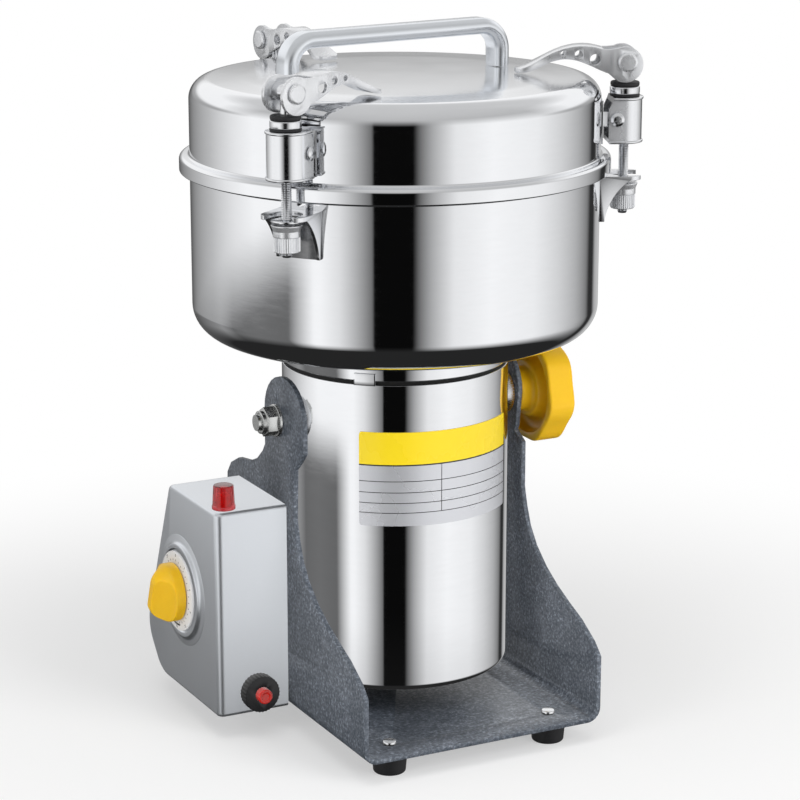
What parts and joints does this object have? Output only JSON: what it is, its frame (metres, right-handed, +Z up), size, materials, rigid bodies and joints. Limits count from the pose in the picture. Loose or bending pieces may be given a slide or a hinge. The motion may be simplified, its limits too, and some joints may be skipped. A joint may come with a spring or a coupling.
{
  "type": "electric grain mill",
  "caption": "Swing-type electric grain mill: a steel grinding bowl with a clamped lid on a motor housing that tilts in a folded stand, with a timer box on its side.",
  "frame": {"origin": "centre of the bounding box at floor level, under the rubber feet", "axes": "+Z up along the bowl axis, -Y the front with the label, X along the tilt axis with the lock knob at +X and the control box at -X"},
  "size_m": [0.2918, 0.2824, 0.4348],
  "materials": {
    "hammertone_paint": "dark blue-grey hammered paint",
    "silver_paint": "silver metallic paint",
    "polished_steel": "mirror polished stainless steel",
    "clamp_chrome": "bright plated",
    "handle_steel": "satin",
    "zinc_plate": "zinc plated",
    "turned_steel": "turned steel",
    "cast_aluminium": "cast",
    "black_plate": "black paint",
    "core_steel": "stacked sheet steel",
    "copper": "enamelled copper",
    "carbon": "carbon",
    "fan_plastic": "moulded",
    "black_rubber": "matt",
    "silicone": "translucent silicone",
    "yellow_plastic": "glossy moulding",
    "label_film": "printed film, no text",
    "dial_print": "white with plain numbers",
    "timer_case": "moulded",
    "lamp_red": "translucent red",
    "button_red": "glossy",
    "black_plastic": "moulded"
  },
  "bodies": {
    "stand": {"frame": "hammertone_paint", "rubber_feet": "black_rubber", "stand_screws": "zinc_plate", "control_box": "silver_paint", "timer_body": "timer_case", "timer_dial": "dial_print", "indicator_lamp": "lamp_red", "breaker_body": "black_plastic", "cable_gland": "black_plastic"},
    "head": {"motor_housing": "polished_steel", "bottom_cover": "black_plate", "bearing_plate": "black_plate", "neck_ring": "polished_steel", "grinding_bowl": "polished_steel", "catch_forks": "clamp_chrome", "rating_label": "label_film", "trunnion_bosses": "turned_steel", "pivot_stud": "zinc_plate", "pivot_washer": "zinc_plate", "pivot_nut": "zinc_plate", "lower_bracket": "cast_aluminium", "bearings": "turned_steel", "stator_core": "core_steel", "field_coils": "copper", "carbon_brushes": "carbon", "shaft_seal": "black_rubber", "bowl_screws": "zinc_plate"},
    "rotor": {"motor_shaft": "turned_steel", "armature": "core_steel", "commutator": "copper", "cooling_fan": "fan_plastic", "blades": "turned_steel", "blade_spacers": "turned_steel", "blade_nut": "zinc_plate"},
    "lid": {"lid": "polished_steel", "lid_gasket": "silicone", "lid_handle": "handle_steel", "handle_screws": "zinc_plate", "clamp_brackets": "clamp_chrome", "sleeve_screws": "zinc_plate"},
    "lock_washer": {"lock_washer": "zinc_plate"},
    "lock_knob": {"lock_knob": "yellow_plastic", "lock_stud": "zinc_plate"},
    "timer_knob": {"timer_knob": "yellow_plastic"},
    "reset_button": {"reset_button": "button_red"},
    "sleeve_a": {"clamp_sleeve_a": "clamp_chrome"},
    "bolt_a": {"draw_bolt_a": "zinc_plate"},
    "lever_a": {"clamp_lever_a": "clamp_chrome"},
    "nut_washer_a": {"nut_washer_a": "clamp_chrome"},
    "thumb_nut_a": {"thumb_nut_a": "clamp_chrome"},
    "sleeve_b": {"clamp_sleeve_b": "clamp_chrome"},
    "bolt_b": {"draw_bolt_b": "zinc_plate"},
    "lever_b": {"clamp_lever_b": "clamp_chrome"},
    "nut_washer_b": {"nut_washer_b": "clamp_chrome"},
    "thumb_nut_b": {"thumb_nut_b": "clamp_chrome"},
    "sleeve_c": {"clamp_sleeve_c": "clamp_chrome"},
    "bolt_c": {"draw_bolt_c": "zinc_plate"},
    "lever_c": {"clamp_lever_c": "clamp_chrome"},
    "nut_washer_c": {"nut_washer_c": "clamp_chrome"},
    "thumb_nut_c": {"thumb_nut_c": "clamp_chrome"}
  },
  "joints": [
    {"name": "head_tilt", "type": "hinge", "parent": "stand", "child": "head", "pos_m": [0.00409, -0.00978, 0.1976], "axis": [1, 0, 0], "range_deg": [-45, 90]},
    {"name": "rotor_spin", "type": "hinge", "parent": "head", "child": "rotor", "pos_m": [0.00409, -0.00978, 0.2465], "axis": [0, 0, 1], "continuous": true},
    {"name": "lid_lift", "type": "slide", "parent": "head", "child": "lid", "axis": [0, 0, 1], "range_m": [0, 0.15]},
    {"name": "lock_travel", "type": "slide", "parent": "head", "child": "lock_washer", "axis": [1, 0, 0], "range_m": [0, 0.003]},
    {"name": "lock_turn", "type": "hinge", "parent": "lock_washer", "child": "lock_knob", "pos_m": [0.08539, -0.00978, 0.1976], "axis": [1, 0, 0], "range_deg": [0, 720]},
    {"name": "timer_turn", "type": "hinge", "parent": "stand", "child": "timer_knob", "pos_m": [-0.12421, 0.03272, 0.0826], "axis": [1, 0, 0], "range_deg": [0, 300]},
    {"name": "reset_press", "type": "slide", "parent": "stand", "child": "reset_button", "axis": [0, 1, 0], "range_m": [0, 0.003], "stiffness_N_per_m": 400},
    {"name": "sleeve_swing_a", "type": "hinge", "parent": "lid", "child": "sleeve_a", "pos_m": [-0.10333, -0.09072, 0.377], "axis": [-0.6018, 0.7986, 0], "range_deg": [0, 16]},
    {"name": "bolt_drop_a", "type": "slide", "parent": "sleeve_a", "child": "bolt_a", "axis": [0, 0, -1], "range_m": [0, 0.00341]},
    {"name": "lever_turn_a", "type": "hinge", "parent": "bolt_a", "child": "lever_a", "pos_m": [-0.10812, -0.09433, 0.41153], "axis": [0.2588, -0.9659, 0], "range_deg": [0, 120]},
    {"name": "nut_travel_a", "type": "slide", "parent": "bolt_a", "child": "nut_washer_a", "axis": [0, 0, -1], "range_m": [0, 0.003]},
    {"name": "nut_turn_a", "type": "hinge", "parent": "nut_washer_a", "child": "thumb_nut_a", "pos_m": [-0.10812, -0.09433, 0.331], "axis": [0, 0, -1], "range_deg": [0, 1080]},
    {"name": "sleeve_swing_b", "type": "hinge", "parent": "lid", "child": "sleeve_b", "pos_m": [0.12789, -0.06233, 0.377], "axis": [-0.3907, -0.9205, 0], "range_deg": [0, 16]},
    {"name": "bolt_drop_b", "type": "slide", "parent": "sleeve_b", "child": "bolt_b", "axis": [0, 0, -1], "range_m": [0, 0.00341]},
    {"name": "lever_turn_b", "type": "hinge", "parent": "bolt_b", "child": "lever_b", "pos_m": [0.13342, -0.06468, 0.41153], "axis": [0.3907, 0.9205, 0], "range_deg": [0, 120]},
    {"name": "nut_travel_b", "type": "slide", "parent": "bolt_b", "child": "nut_washer_b", "axis": [0, 0, -1], "range_m": [0, 0.003]},
    {"name": "nut_turn_b", "type": "hinge", "parent": "nut_washer_b", "child": "thumb_nut_b", "pos_m": [0.13342, -0.06468, 0.331], "axis": [0, 0, -1], "range_deg": [0, 1080]},
    {"name": "sleeve_swing_c", "type": "hinge", "parent": "lid", "child": "sleeve_c", "pos_m": [-0.0123, 0.12372, 0.377], "axis": [0.9925, 0.1219, 0], "range_deg": [0, 16]},
    {"name": "bolt_drop_c", "type": "slide", "parent": "sleeve_c", "child": "bolt_c", "axis": [0, 0, -1], "range_m": [0, 0.00341]},
    {"name": "lever_turn_c", "type": "hinge", "parent": "bolt_c", "child": "lever_c", "pos_m": [-0.01304, 0.12967, 0.41153], "axis": [-0.9925, -0.1219, 0], "range_deg": [0, 120]},
    {"name": "nut_travel_c", "type": "slide", "parent": "bolt_c", "child": "nut_washer_c", "axis": [0, 0, -1], "range_m": [0, 0.003]},
    {"name": "nut_turn_c", "type": "hinge", "parent": "nut_washer_c", "child": "thumb_nut_c", "pos_m": [-0.01304, 0.12967, 0.331], "axis": [0, 0, -1], "range_deg": [0, 1080]}
  ],
  "couplings": [
    {"joint": "lock_turn", "follows": "lock_travel", "rad_per_m": 4188.7},
    {"joint": "sleeve_swing_a", "follows": "bolt_drop_a", "rad_per_m": 81.85},
    {"joint": "lever_turn_a", "follows": "bolt_drop_a", "rad_per_m": 613.9},
    {"joint": "nut_turn_a", "follows": "nut_travel_a", "rad_per_m": 6283.1},
    {"joint": "sleeve_swing_b", "follows": "bolt_drop_b", "rad_per_m": 81.85},
    {"joint": "lever_turn_b", "follows": "bolt_drop_b", "rad_per_m": 613.9},
    {"joint": "nut_turn_b", "follows": "nut_travel_b", "rad_per_m": 6283.1},
    {"joint": "sleeve_swing_c", "follows": "bolt_drop_c", "rad_per_m": 81.85},
    {"joint": "lever_turn_c", "follows": "bolt_drop_c", "rad_per_m": 613.9},
    {"joint": "nut_turn_c", "follows": "nut_travel_c", "rad_per_m": 6283.1}
  ]
}
